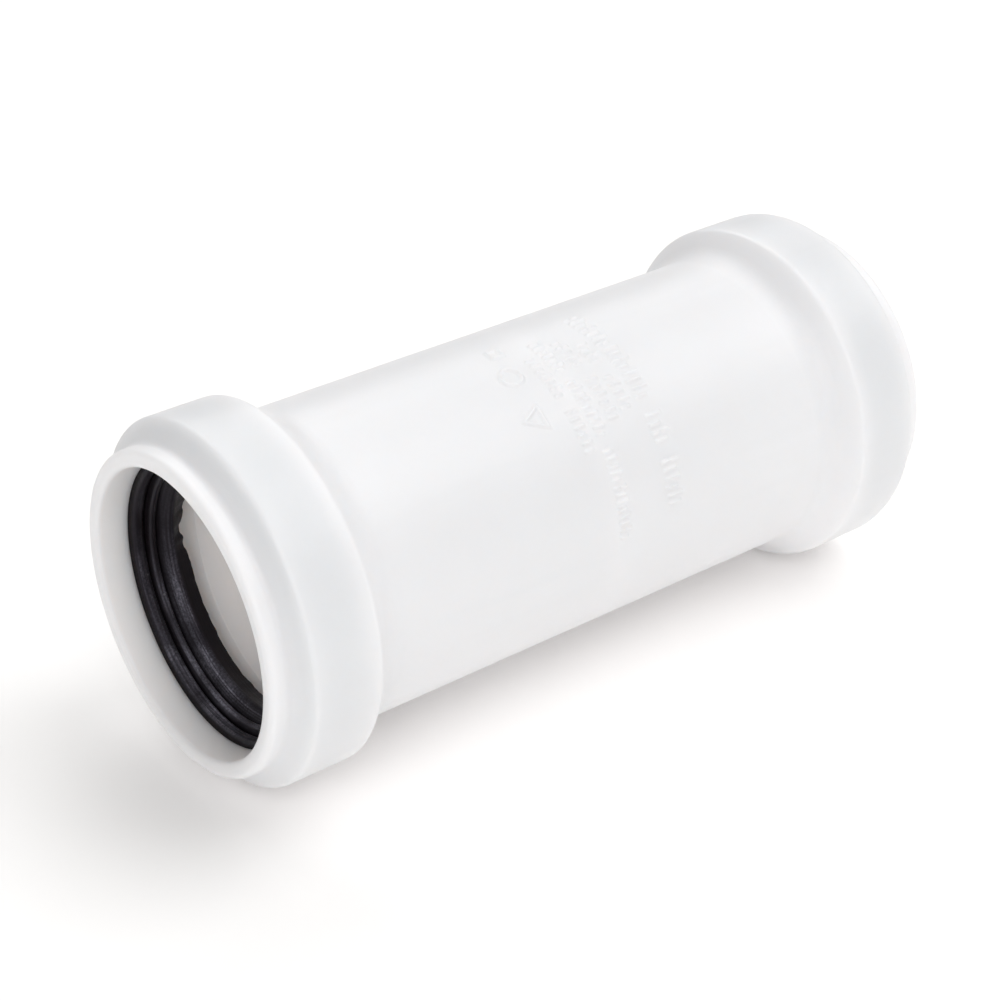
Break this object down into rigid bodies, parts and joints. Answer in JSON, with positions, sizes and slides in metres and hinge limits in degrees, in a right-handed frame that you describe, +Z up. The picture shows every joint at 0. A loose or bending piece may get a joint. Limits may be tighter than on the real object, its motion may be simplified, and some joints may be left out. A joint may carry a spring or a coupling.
{
  "type": "push fit coupling",
  "caption": "Straight push-fit waste pipe coupling: a white plastic tube with a collared, beaded socket at each end and a black rubber lip seal inside each bead.",
  "frame": {"origin": "on the bore's axis, halfway between the two mouths", "axes": "+X along the bore from the left mouth to the right mouth, +Z up as the coupling lies on its two beads, +Y completes the right-handed frame"},
  "size_m": [0.115, 0.0516, 0.0516],
  "materials": {
    "white_polypropylene": "satin moulded polypropylene, opaque white",
    "black_rubber": "matt moulded rubber with a faint grey bloom"
  },
  "bodies": {
    "root": {"coupling_body": "white_polypropylene", "left_seal_ring": "black_rubber", "right_seal_ring": "black_rubber"}
  },
  "joints": []
}
